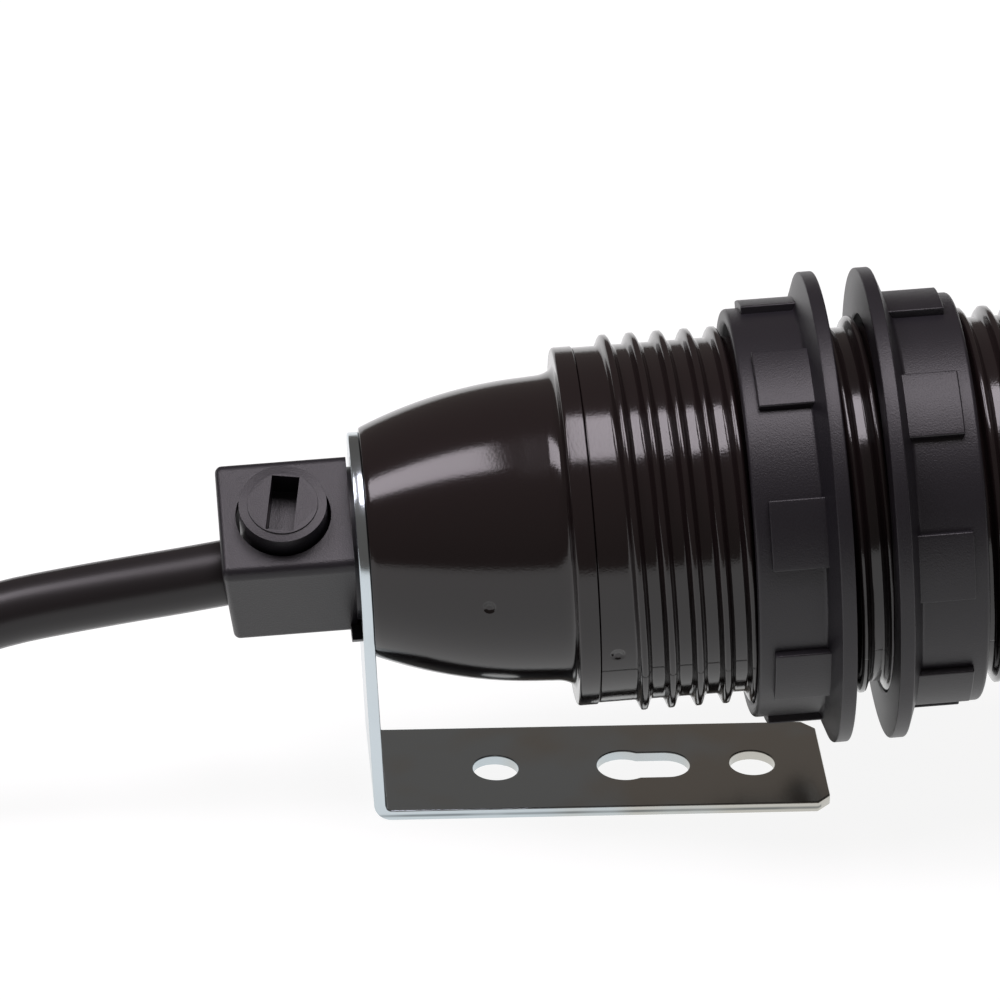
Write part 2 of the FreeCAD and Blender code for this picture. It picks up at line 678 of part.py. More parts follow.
def in_place(station, y, z):
    """A point on the lamp axis frame, in the part's frame."""
    spot = HOLDER.multVec(Vector(station, y, z))
    return (spot.x, spot.y, spot.z)


def coil_height():
    return COIL_LAYERS * TURN_PITCH


def coil_inner_radius():
    return COIL_FOLD_RADIUS - CORD_DIAMETER / 2


def coil_outer_radius():
    return COIL_FOLD_RADIUS + TURNS_PER_LAYER * TURN_PITCH + CORD_DIAMETER / 2


def coil_edge():
    """Corner cut of the coil's envelope."""
    return CORD_DIAMETER / 4


def coil_envelope(clearance):
    """Outer shape of the oblong coil, two runs and two folds, grown by a clearance."""
    low = TIE_THICKNESS - clearance
    high = TIE_THICKNESS + coil_height() + clearance
    inner = coil_inner_radius() - clearance
    outer = coil_outer_radius() + clearance
    edge = coil_edge()
    corners = [
        Vector(0, -inner - edge, low), Vector(0, -outer + edge, low), Vector(0, -outer, low + edge),
        Vector(0, -outer, high - edge), Vector(0, -outer + edge, high), Vector(0, -inner - edge, high),
        Vector(0, -inner, high - edge), Vector(0, -inner, low + edge),
    ]
    section = Part.Face(Part.makePolygon(corners + corners[:1]))
    near_fold = section.revolve(Vector(), Vector(0, 0, 1), 180)
    front_run = section.extrude(Vector(-COIL_RUN, 0, 0))
    near_half = near_fold.fuse(front_run)
    far_half = near_half.copy()
    far_half.rotate(Vector(-COIL_RUN / 2, 0, 0), Vector(0, 0, 1), 180)
    envelope = near_half.fuse(far_half).removeSplitter()
    envelope.translate(Vector(COIL_NEAR_X - coil_outer_radius(), 0, 0))
    return envelope


def make_coil_tie():
    """Flat strap round one run of the coil."""
    half = TIE_WIDTH / 2
    slab = block(TIE_X - half, TIE_X + half, -2 * coil_outer_radius(), 0, -CORD_DIAMETER, 2 * coil_height())
    return coil_envelope(TIE_THICKNESS).common(slab).cut(coil_envelope(0))


def make_cord_lead(coil):
    """Sheath from inside the grip to where the coil begins."""
    points = [in_place(SHEATH_END, 0, 0)] + LEAD_ROUTE
    return tube(points, CORD_DIAMETER / 2, "cord_lead").cut(coil)


def make_cord_tail(coil, plug_body):
    """Sheath from the coil into the plug's strain relief."""
    return tube(TAIL_ROUTE, CORD_DIAMETER / 2, "cord_tail").cut([coil, plug_body])


def make_core(side, sheath):
    """Insulated core from the end of the sheath to its terminal."""
    centre = terminal_centre(side)
    start = terminal_box(side)[0]
    spread = side * CORE_SPREAD
    stations = [
        (SHEATH_END, spread, 0), (CAP_FLOOR, spread, 0), (CAP_FLOOR + CORE_FAN_LENGTH, centre, 0),
        (start - FIT_CLEARANCE, centre, 0),
    ]
    core = tube([in_place(*spot) for spot in stations], CORE_RADIUS, "core")
    conductor = rod(CONDUCTOR_RADIUS, start - FIT_CLEARANCE, start + STRIPPED_LENGTH, y=centre)
    return core.cut(sheath).fuse(placed(conductor)).removeSplitter()


def plug_frame():
    """Placement of the plug: along the coil, its slanted sides resting on the inner edges of the two runs."""
    end = Vector(*TAIL_ROUTE[-1])
    flat_half = (PLUG_WIDTH - PLUG_THICKNESS) / 2
    edge_top = TIE_THICKNESS + coil_height() - coil_edge()
    bottom = edge_top - (coil_inner_radius() - flat_half) + FIT_CLEARANCE
    return Placement(Vector(end.x, end.y, bottom + PLUG_THICKNESS / 2), Rotation())


def plug_section(x, half_width, half_height, slant):
    """Flat six-sided section of the plug across its length."""
    inner = half_width - slant
    spots = [(-half_width, 0), (-inner, -half_height), (inner, -half_height), (half_width, 0),
             (inner, half_height), (-inner, half_height)]
    outline = [Vector(x, y, z) for y, z in spots]
    return Part.makePolygon(outline + outline[:1])


def plug_length():
    return RELIEF_LENGTH + PLUG_TAPER_LENGTH + PLUG_FRONT_LENGTH


def pin_offset(side):
    return Vector(plug_length() - PIN_SEAT, side * PIN_SPACING / 2, 0)


def make_plug_body():
    half_width = PLUG_WIDTH / 2
    half_height = PLUG_THICKNESS / 2
    slant = half_height
    waist = RELIEF_LENGTH
    shoulder = waist + PLUG_TAPER_LENGTH
    front_face = Part.Face(plug_section(shoulder, half_width, half_height, slant))
    front = front_face.extrude(Vector(PLUG_FRONT_LENGTH, 0, 0))
    rear = plug_section(waist, PLUG_REAR_RADIUS + slant / 2, PLUG_REAR_RADIUS, PLUG_REAR_RADIUS / 2)
    taper = Part.makeLoft([rear, plug_section(shoulder, half_width, half_height, slant)], True, True)
    relief = Part.makeCone(RELIEF_END_RADIUS, RELIEF_ROOT_RADIUS, RELIEF_LENGTH, Vector(), AXIS)
    body = front.fuse([taper, relief]).removeSplitter()
    for side in (-1, 1):
        body = body.cut(Part.makeCylinder(PIN_RADIUS, PIN_SEAT, pin_offset(side), AXIS))
    return body.transformed(plug_frame().Matrix, True)


def make_plug_pins():
    pins = []
    for side in (-1, 1):
        pin = Part.makeCylinder(PIN_RADIUS, PIN_SEAT + PIN_LENGTH, pin_offset(side), AXIS)
        far = [e for e in pin.Edges if e.BoundBox.XMin > plug_length() + PIN_LENGTH / 2]
        pins.append(pin.makeFillet(PIN_RADIUS * 0.6, far))
    return Part.makeCompound(pins).transformed(plug_frame().Matrix, True)


def main():
    os.makedirs("parts", exist_ok=True)
    coil = coil_envelope(0)
    cord_lead = make_cord_lead(coil)
    plug_body = make_plug_body()
    nodes = {
        "bracket": make_bracket(),
        "cord_grip": placed(make_cord_grip()),
        "grip_screw": placed(make_grip_screw()),
        "cap": placed(make_cap()),
        "shell": placed(make_shell()),
        "inner_shade_ring": placed(make_shade_ring(INNER_RING_FLANGE_FACE, -1, INNER_RING_TURN)),
        "outer_shade_ring": placed(make_shade_ring(OUTER_RING_FLANGE_FACE, 1, OUTER_RING_TURN)),
        "insulator": placed(make_insulator()),
        "lamp_sleeve": placed(make_sleeve()),
        "live_terminal": placed(make_terminal(1)),
        "neutral_terminal": placed(make_terminal(-1)),
        "live_terminal_screw": placed(make_terminal_screw(1)),
        "neutral_terminal_screw": placed(make_terminal_screw(-1)),
        "centre_contact": placed(make_centre_contact()),
        "contact_rivet": placed(make_rivet()),
        "live_core": make_core(1, cord_lead),
        "neutral_core": make_core(-1, cord_lead),
        "cord_lead": cord_lead,
        "cord_coil": coil,
        "coil_tie": make_coil_tie(),
        "cord_tail": make_cord_tail(coil, plug_body),
        "plug_body": plug_body,
        "plug_pins": make_plug_pins(),
    }
    for name, shape in nodes.items():
        print(name, "valid", shape.isValid(), "solids", len(shape.Solids), "volume", round(shape.Volume, 2))
        shape.exportStep(f"parts/{name}.step")


main()
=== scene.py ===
"""Dresses the lamp holder's solids: threads, rounded edges, finishes, the lead's turns, and the stage."""

import math

import bmesh
import bpy
from bpy.props import FloatProperty, FloatVectorProperty, IntProperty, PointerProperty
from mathutils import Matrix, Vector


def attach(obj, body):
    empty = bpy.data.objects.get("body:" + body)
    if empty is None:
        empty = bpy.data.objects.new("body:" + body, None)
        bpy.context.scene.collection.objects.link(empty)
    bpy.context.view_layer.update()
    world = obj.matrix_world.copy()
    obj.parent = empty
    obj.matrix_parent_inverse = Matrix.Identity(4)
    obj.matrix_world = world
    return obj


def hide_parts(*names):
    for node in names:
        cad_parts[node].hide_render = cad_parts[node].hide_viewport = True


bl_info = {
    "name": "Lamp holder",
    "version": (1, 0, 0),
    "blender": (4, 5, 0),
    "location": "3D View > Sidebar > Lamp holder",
    "description": "Builds a threaded lamp holder on its bracket, with its lead, over the packed solids",
    "category": "Object",
}

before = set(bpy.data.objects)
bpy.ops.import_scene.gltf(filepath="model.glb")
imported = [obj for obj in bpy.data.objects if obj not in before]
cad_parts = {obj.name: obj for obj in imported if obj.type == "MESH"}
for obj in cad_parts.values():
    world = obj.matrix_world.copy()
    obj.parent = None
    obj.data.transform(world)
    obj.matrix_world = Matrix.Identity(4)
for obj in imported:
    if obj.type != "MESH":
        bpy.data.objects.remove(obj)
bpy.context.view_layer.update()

MM = 0.001

# The lamp axis: where its stations begin, near the bracket's leg, and how far it tips up towards the mouth
AXIS_FOOT = (-0.019821424, 0.0, 0.0205)
AXIS_TILT = math.radians(4.0)
HOLDER = Matrix.Translation(AXIS_FOOT) @ Matrix.Rotation(-AXIS_TILT, 4, "Y")

# Marks that the moulds left: a gate on the cap, an ejector's spot and the parting plane on the barrel
GATE_MARK = (-0.01136, -0.01075, 0.02112)
GATE_RADIUS = 0.55 * MM
EJECTOR_MARK = (-0.00215, -0.01250, 0.01801)
EJECTOR_RADIUS = 0.62 * MM
MARK_DEPTH = 0.25 * MM
PARTING_TURN = math.radians(-155.5)

# The camera: its place, the directions of its frame, and its lens and sensor in millimetres
EYE_PLACE = (-0.04502, -0.39808, 0.25052)
EYE_RIGHT = (0.99693, -0.07473, 0.02339)
EYE_UP = (0.01660, 0.49362, 0.86953)
EYE_BACK = (-0.07652, -0.86647, 0.49334)
EYE_LENS = 226.56
EYE_SENSOR = 36.0

# How far the edges of the pieces that keep their solid's shape are rounded
BRACKET_EDGE = 0.2 * MM
GRIP_EDGE = 0.12 * MM
SOCKET_EDGE = 0.06 * MM
PLUG_EDGE = 0.7 * MM
PIN_EDGE = 0.05 * MM
TIE_EDGE = 0.1 * MM

# The lead's route, as in the part's source, in metres
SHEATH_START = (-0.01732751, 0.0, 0.02067439)
LEAD_ROUTE = (
    (-0.0304, -0.00125, 0.01872),
    (-0.0390, -0.00170, 0.01752),
    (-0.0480, -0.00210, 0.01593),
    (-0.0570, -0.00330, 0.01230),
    (-0.0655, -0.00630, 0.00800),
    (-0.0740, -0.01060, 0.00480),
    (-0.0825, -0.01520, 0.00350),
    (-0.0910, -0.01830, 0.00325),
    (-0.1002, -0.01945, 0.00325),
)
TAIL_ROUTE = (
    (-0.1922, 0.0144, 0.02265),
    (-0.1830, 0.0136, 0.0230),
    (-0.1740, 0.0102, 0.0245),
    (-0.1650, 0.0050, 0.0271),
    (-0.1560, 0.0010, 0.0290),
    (-0.1466, 0.0000, 0.0296),
)


def srgb(code):
    """An sRGB hex colour as linear red, green, blue and alpha."""
    channels = [int(code[i:i + 2], 16) / 255 for i in (1, 3, 5)]
    linear = [c / 12.92 if c <= 0.04045 else ((c + 0.055) / 1.055) ** 2.4 for c in channels]
    return (*linear, 1.0)


def length(label, about, metres):
    """A length that a user may change."""
    return FloatProperty(name=label, description=about, default=metres, unit="LENGTH", precision=5)


def colour(label, about, code):
    """A finish's colour that a user may change."""
    return FloatVectorProperty(name=label, description=about, default=srgb(code), size=4, subtype="COLOR",
                               min=0.0, max=1.0)


class HolderSizes(bpy.types.PropertyGroup):
    """Sizes of the holder's dressed pieces."""

    thread_pitch: length("Thread pitch", "Distance between the barrel's thread crests", 0.002)
    thread_crest: length("Thread crest radius", "Outer radius of the barrel's thread", 0.01382)
    thread_root: length("Thread root radius", "Inner radius of the barrel's thread", 0.01304)
    thread_first: length("First crest", "Station of a crest at the top of the view", 0.01857)
    thread_start: length("Thread start", "Station where the thread runs out beside the band", 0.0181)
    thread_end: length("Thread end", "Station where the thread runs out beside the lip", 0.0519)
    mouth: length("Mouth", "Station of the barrel's open end", 0.054)
    seam: length("Seam", "Station where the cap meets the barrel", 0.0162)
    rim_radius: length("Rim radius", "Radius of the cap's rim", 0.01315)
    ring_bore: length("Ring bore", "Inner radius of the shade rings", 0.01395)
    ring_barrel: length("Ring barrel", "Outer radius of a shade ring's barrel", 0.0150)
    ring_lug: length("Ring lug", "Outer radius over a shade ring's lugs", 0.01557)
    ring_flange: length("Ring flange", "Outer radius of a shade ring's flange", 0.0173)
    ring_length: length("Ring length", "Length of a shade ring", 0.0068)
    ring_lugs: IntProperty(name="Lugs", description="Lugs on a shade ring", default=8, min=3, max=24)
    lamp_pitch: length("Lamp thread pitch", "Distance between the lamp thread's turns", 0.00282)
    cord_diameter: length("Lead diameter", "Diameter of the lead's sheath", 0.0048)
    cord_length: length("Lead length", "Length of the lead from its cores to the plug", 1.74)
    coil_run: length("Coil run", "Straight length of the oblong coil", 0.092)
    turn_pitch: length("Turn pitch", "Distance between neighbouring turns of the coil", 0.0049)


class HolderFinishes(bpy.types.PropertyGroup):
    """Colours of the holder's finishes."""

    phenolic: colour("Phenolic", "Gloss moulding of the cap and barrel", "#221b1b")
    nylon: colour("Nylon", "Satin moulding of the rings and the cord grip", "#232126")
    zinc: colour("Zinc", "Plated steel of the bracket", "#c6d0d5")
    zinc_straw: colour("Straw zinc", "Warm clouds in the bracket's plating", "#c4c2bb")
    sheath: colour("Sheath", "PVC of the lead", "#242122")
    brass: colour("Brass", "Contacts and the lamp thread", "#c9a24e")


def add_node(tree, kind, inputs=None, **settings):
    """A node with its settings; each input is a value or a socket to link."""
    node = tree.nodes.new(kind)
    for name, value in settings.items():
        setattr(node, name, value)
    for key, value in (inputs or {}).items():
        if isinstance(value, bpy.types.NodeSocket):
            tree.links.new(value, node.inputs[key])
        else:
            node.inputs[key].default_value = value
    return node


def empty_material(name):
    """A material whose node tree is still empty."""
    material = bpy.data.materials.new(name)
    material.use_nodes = True
    material.node_tree.nodes.clear()
    return material, material.node_tree


def grain(tree, size, strength, distance):
    """A bump normal from grain of a real size in metres."""
    place = add_node(tree, "ShaderNodeTexCoord").outputs["Object"]
    noise = add_node(tree, "ShaderNodeTexNoise", {"Vector": place, "Scale": 1 / size})
    bump = add_node(tree, "ShaderNodeBump", {
        "Height": noise.outputs["Fac"], "Strength": strength, "Distance": distance})
    return bump.outputs["Normal"]


def simple_material(name, base, roughness, metallic=0.0, ior=None, texture=None):
    """A plain shader with an optional grain of (size, strength, distance)."""
    material, tree = empty_material(name)
    inputs = {"Base Color": base, "Roughness": roughness, "Metallic": metallic}
    if ior:
        inputs["IOR"] = ior
    if texture:
        inputs["Normal"] = grain(tree, *texture)
    shader = add_node(tree, "ShaderNodeBsdfPrincipled", inputs)
    add_node(tree, "ShaderNodeOutputMaterial", {"Surface": shader.outputs[0]})
    return material


def sunk_spot(tree, place, centre, radius, flat_share=0.3):
    """How far a round mark sinks at each point: fully in its middle, not at all outside its radius."""
    away = add_node(tree, "ShaderNodeVectorMath", {0: place, 1: centre}, operation="DISTANCE")
    sunk = add_node(tree, "ShaderNodeMapRange", {
        "Value": away.outputs["Value"], "From Min": radius, "From Max": flat_share * radius},
        interpolation_type="SMOOTHSTEP")
    return sunk.outputs[0]


def parting_line(tree, place, half_width=0.09 * MM, depth_share=0.2):
    """How far the line sinks where the barrel's mould opened, on a plane through the lamp axis."""
    across = HOLDER.to_3x3() @ Vector((0, -math.sin(PARTING_TURN), math.cos(PARTING_TURN)))
    plane = across.dot(Vector(AXIS_FOOT))
    along = add_node(tree, "ShaderNodeVectorMath", {0: place, 1: across}, operation="DOT_PRODUCT")
    off = add_node(tree, "ShaderNodeMath", {0: along.outputs["Value"], 1: plane}, operation="SUBTRACT")
    away = add_node(tree, "ShaderNodeMath", {0: off.outputs[0]}, operation="ABSOLUTE")
    sunk = add_node(tree, "ShaderNodeMapRange", {
        "Value": away.outputs[0], "From Min": half_width, "From Max": 0.0, "To Max": depth_share})
    return sunk.outputs[0]


def gloss_phenolic(finishes, spot, radius, parted=False):
    """Moulded phenolic: brown-black with a mirror-like skin, a faint grain and its mould's marks."""
    material, tree = empty_material("Gloss phenolic")
    place = add_node(tree, "ShaderNodeTexCoord").outputs["Object"]
    sunk = sunk_spot(tree, place, spot, radius)
    if parted:
        line = parting_line(tree, place)
        sunk = add_node(tree, "ShaderNodeMath", {0: sunk, 1: line}, operation="MAXIMUM").outputs[0]
    skin = grain(tree, size=0.16 * MM, strength=0.25, distance=0.02 * MM)
    marked = add_node(tree, "ShaderNodeBump", {
        "Height": sunk, "Strength": 1.0, "Distance": MARK_DEPTH, "Normal": skin}, invert=True)
    shader = add_node(tree, "ShaderNodeBsdfPrincipled", {
        "Base Color": finishes.phenolic, "Roughness": 0.13, "IOR": 1.52, "Normal": marked.outputs[0]})
    add_node(tree, "ShaderNodeOutputMaterial", {"Surface": shader.outputs[0]})
    return material


def satin_nylon(finishes):
    """Moulded nylon from a spark-textured tool: charcoal, with a broad soft sheen."""
    # Drawn a little coarser than a real spark texture, so that it shows
    spark = (0.12 * MM, 0.6, 0.03 * MM)
    return simple_material("Satin nylon", finishes.nylon, roughness=0.4, ior=1.49, texture=spark)


def shear_line(tree, place, patches):
    """How dull the line is that shearing left along the middle of the base's cut edges."""
    edge_side, edge_middle = 5.5 * MM, 0.4 * MM
    full, gone = 0.04 * MM, 0.16 * MM
    aside = add_node(tree, "ShaderNodeMath", {0: place["Y"]}, operation="ABSOLUTE").outputs[0]
    outside = add_node(tree, "ShaderNodeMath", {0: aside, 1: edge_side}, operation="GREATER_THAN").outputs[0]
    off = add_node(tree, "ShaderNodeMath", {0: place["Z"], 1: edge_middle}, operation="SUBTRACT").outputs[0]
    away = add_node(tree, "ShaderNodeMath", {0: off}, operation="ABSOLUTE").outputs[0]
    torn = add_node(tree, "ShaderNodeMapRange", {
        "Value": away, "From Min": gone, "From Max": full}).outputs[0]
    share = add_node(tree, "ShaderNodeMapRange", {
        "Value": patches, "From Min": 0.3, "From Max": 0.6, "To Min": 0.25, "To Max": 0.75}).outputs[0]
    line = add_node(tree, "ShaderNodeMath", {0: torn, 1: outside}, operation="MULTIPLY").outputs[0]
    return add_node(tree, "ShaderNodeMath", {0: line, 1: share}, operation="MULTIPLY").outputs[0]


def zinc_plate(finishes):
    """Bright zinc over rolled steel: a bluish mirror with straw clouds, softened by fine rolling lines."""
    line_length, line_width, cloud = 1.11 * MM, 0.0925 * MM, 7.0 * MM
    straw_per_metre = 15.0
    material, tree = empty_material("Bright zinc plate")
    place = add_node(tree, "ShaderNodeTexCoord").outputs["Object"]
    drawn = add_node(tree, "ShaderNodeMapping", {
        "Vector": place, "Scale": (1.0, line_length / line_width, 1.0)}).outputs[0]
    lines = add_node(tree, "ShaderNodeTexNoise", {
        "Vector": drawn, "Scale": 1 / line_length, "Detail": 3.0}).outputs["Fac"]
    rough = add_node(tree, "ShaderNodeMapRange", {"Value": lines, "To Min": 0.12, "To Max": 0.22})
    bump = add_node(tree, "ShaderNodeBump", {"Height": lines, "Strength": 0.08, "Distance": 0.02 * MM})
    spot = add_node(tree, "ShaderNodeSeparateXYZ", {0: place}).outputs
    clouds = add_node(tree, "ShaderNodeTexNoise", {"Vector": place, "Scale": 1 / cloud}).outputs["Fac"]
    warmer = add_node(tree, "ShaderNodeMath", {0: spot["X"], 1: straw_per_metre, 2: clouds},
                      operation="MULTIPLY_ADD").outputs[0]
    straw = add_node(tree, "ShaderNodeMapRange", {"Value": warmer, "From Min": 0.35, "From Max": 0.65})
    tint = add_node(tree, "ShaderNodeMix", {0: straw.outputs[0], 6: finishes.zinc, 7: finishes.zinc_straw},
                    data_type="RGBA")
    dull = shear_line(tree, spot, clouds)
    cut = add_node(tree, "ShaderNodeMix", {0: dull, 6: tint.outputs[2], 7: srgb("#4a5254")}, data_type="RGBA")
    shader = add_node(tree, "ShaderNodeBsdfPrincipled", {
        "Base Color": cut.outputs[2], "Metallic": 1.0,
        "Roughness": rough.outputs[0], "Normal": bump.outputs[0]})
    add_node(tree, "ShaderNodeOutputMaterial", {"Surface": shader.outputs[0]})
    return material


def pvc_sheath(finishes):
    """Extruded PVC: smooth black with a soft sheen."""
    draw_marks = (0.3 * MM, 0.06, 0.03 * MM)
    return simple_material("PVC sheath", finishes.sheath, roughness=0.33, ior=1.48, texture=draw_marks)


def rounded(corners, steps=5):
    """A closed outline of (station, radius, rounding) corners with arcs at the rounded ones."""
    points = []
    count = len(corners)
    for index, (s, r, rounding) in enumerate(corners):
        here = Vector((s, r))
        if rounding <= 0:
            points.append(here)
            continue
        before = (Vector(corners[index - 1][:2]) - here).normalized()
        after = (Vector(corners[(index + 1) % count][:2]) - here).normalized()
        half = before.angle(after) / 2
        reach = rounding / math.tan(half)
        centre = here + (before + after).normalized() * (rounding / math.sin(half))
        first = here + before * reach - centre
        sweep = first.angle_signed(here + after * reach - centre)
        for step in range(steps + 1):
            turn = -sweep * step / steps
            points.append(centre + Matrix.Rotation(turn, 2) @ first)
    return points


def arc_points(start, middle, end, steps):
    """Points along the circle through three points, the first and last included."""
    (ax, ay), (bx, by), (cx, cy) = start, middle, end
    d = 2 * (ax * (by - cy) + bx * (cy - ay) + cx * (ay - by))
    a2, b2, c2 = ax * ax + ay * ay, bx * bx + by * by, cx * cx + cy * cy
    centre = Vector(((a2 * (by - cy) + b2 * (cy - ay) + c2 * (ay - by)) / d,
                     (a2 * (cx - bx) + b2 * (ax - cx) + c2 * (bx - ax)) / d))
    first = Vector(start) - centre
    sweep = first.angle_signed(Vector(end) - centre)
    return [centre + Matrix.Rotation(-sweep * step / steps, 2) @ first for step in range(steps + 1)]


def spun_mesh(name, outline, segments=192):
    """The closed outline of (station, radius) points turned about the lamp axis."""
    verts = []
    for segment in range(segments):
        angle = 2 * math.pi * segment / segments
        c, s = math.cos(angle), math.sin(angle)
        verts.extend((p[0], p[1] * c, p[1] * s) for p in outline)
    count = len(outline)
    faces = []
    for segment in range(segments):
        here = segment * count
        there = (segment + 1) % segments * count
        for index in range(count):
            after = (index + 1) % count
            faces.append((here + index, here + after, there + after, there + index))
    mesh = bpy.data.meshes.new(name)
    mesh.from_pydata(verts, [], faces)
    fix_normals(mesh)
    return mesh


def fix_normals(mesh):
    """Turns a closed mesh's faces outwards and shades it smooth."""
    bm = bmesh.new()
    bm.from_mesh(mesh)
    bmesh.ops.recalc_face_normals(bm, faces=bm.faces)
    bm.to_mesh(mesh)
    bm.free()
    mesh.shade_smooth()


def add_object(name, data, material=None):
    """An object at the origin, linked to the scene."""
    obj = bpy.data.objects.new(name, data)
    bpy.context.scene.collection.objects.link(obj)
    if material:
        data.materials.append(material)
    return obj


def made_plain(obj):
    """Turns an object's modifiers into its own mesh."""
    bpy.context.view_layer.update()
    evaluated = obj.evaluated_get(bpy.context.evaluated_depsgraph_get())
    mesh = bpy.data.meshes.new_from_object(evaluated)
    obj.modifiers.clear()
    obj.data = mesh
    return mesh


def give(modifier, **values):
    """Sets a node modifier's inputs, found by their names, through their identifiers."""
    for item in modifier.node_group.interface.items_tree:
        if item.item_type == "SOCKET" and item.in_out == "INPUT":
            key = item.name.lower().replace(" ", "_")
            if key in values:
                modifier[item.identifier] = values[key]


def even_shading(obj):
    """Keeps flats flat beside small roundings."""
    modifier = obj.modifiers.new("Even shading", "WEIGHTED_NORMAL")
    modifier.keep_sharp = True
    modifier.use_face_influence = True
    return obj


def settle(obj, body, slot, *nodes):
    """Hands a finished piece to its body, in place of the solids that it stands for."""
    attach(obj, body)
    if nodes:
        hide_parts(*nodes)
    return obj


def dressed(node, material, width, angle=32.0, whole_flats=False, shortest=0.0):
    """A solid's own shape with merged vertices, and with its edges rounded from a shortest length on."""
    # Both angles are in radians, and the second takes in every shape of face
    same_point, flat_within, any_shape = 0.001 * MM, 0.007, 3.2
    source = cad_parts[node]
    mesh = source.data.copy()
    mesh.transform(source.matrix_world)
    mesh.materials.clear()
    bm = bmesh.new()
    bm.from_mesh(mesh)
    bmesh.ops.remove_doubles(bm, verts=bm.verts, dist=same_point)
    if whole_flats:
        bmesh.ops.dissolve_limit(bm, angle_limit=flat_within, verts=bm.verts, edges=bm.edges)
    else:
        bmesh.ops.join_triangles(bm, faces=bm.faces, angle_face_threshold=flat_within,
                                 angle_shape_threshold=any_shape)
    round_share = bm.edges.layers.float.new("bevel_weight_edge")
    for edge in bm.edges:
        sharp = edge.is_manifold and edge.calc_face_angle() > math.radians(angle)
        softened = sharp and edge.calc_length() >= shortest
        edge[round_share] = float(softened)
        edge.smooth = softened or not sharp
    bm.to_mesh(mesh)
    bm.free()
    mesh.name = node + "_dressed"
    mesh.shade_smooth()
    obj = add_object(node.capitalize(), mesh, material)
    bevel = obj.modifiers.new("Edges", "BEVEL")
    bevel.width = width
    bevel.segments = 3
    bevel.limit_method = "WEIGHT"
    bevel.use_clamp_overlap = shortest == 0
    bevel.face_strength_mode = "FSTR_ALL"
    return even_shading(obj)


def piece_tree(name, *inputs):
    """A node tree from geometry to geometry, with its named inputs and a finish."""
    tree = bpy.data.node_groups.new(name, "GeometryNodeTree")
    for label, kind in (("Geometry", "Geometry"), *inputs, ("Finish", "Material")):
        tree.interface.new_socket(label, in_out="INPUT", socket_type="NodeSocket" + kind)
    tree.interface.new_socket("Geometry", in_out="OUTPUT", socket_type="NodeSocketGeometry")
    return tree, add_node(tree, "NodeGroupInput").outputs


def finish_tree(tree, shape, finish):
    """Ends a tree with plain geometry in one finish."""
    whole = add_node(tree, "GeometryNodeRealizeInstances", {0: shape})
    coated = add_node(tree, "GeometryNodeSetMaterial", {"Geometry": whole.outputs[0], "Material": finish})
    add_node(tree, "NodeGroupOutput", {0: coated.outputs[0]})
    return tree


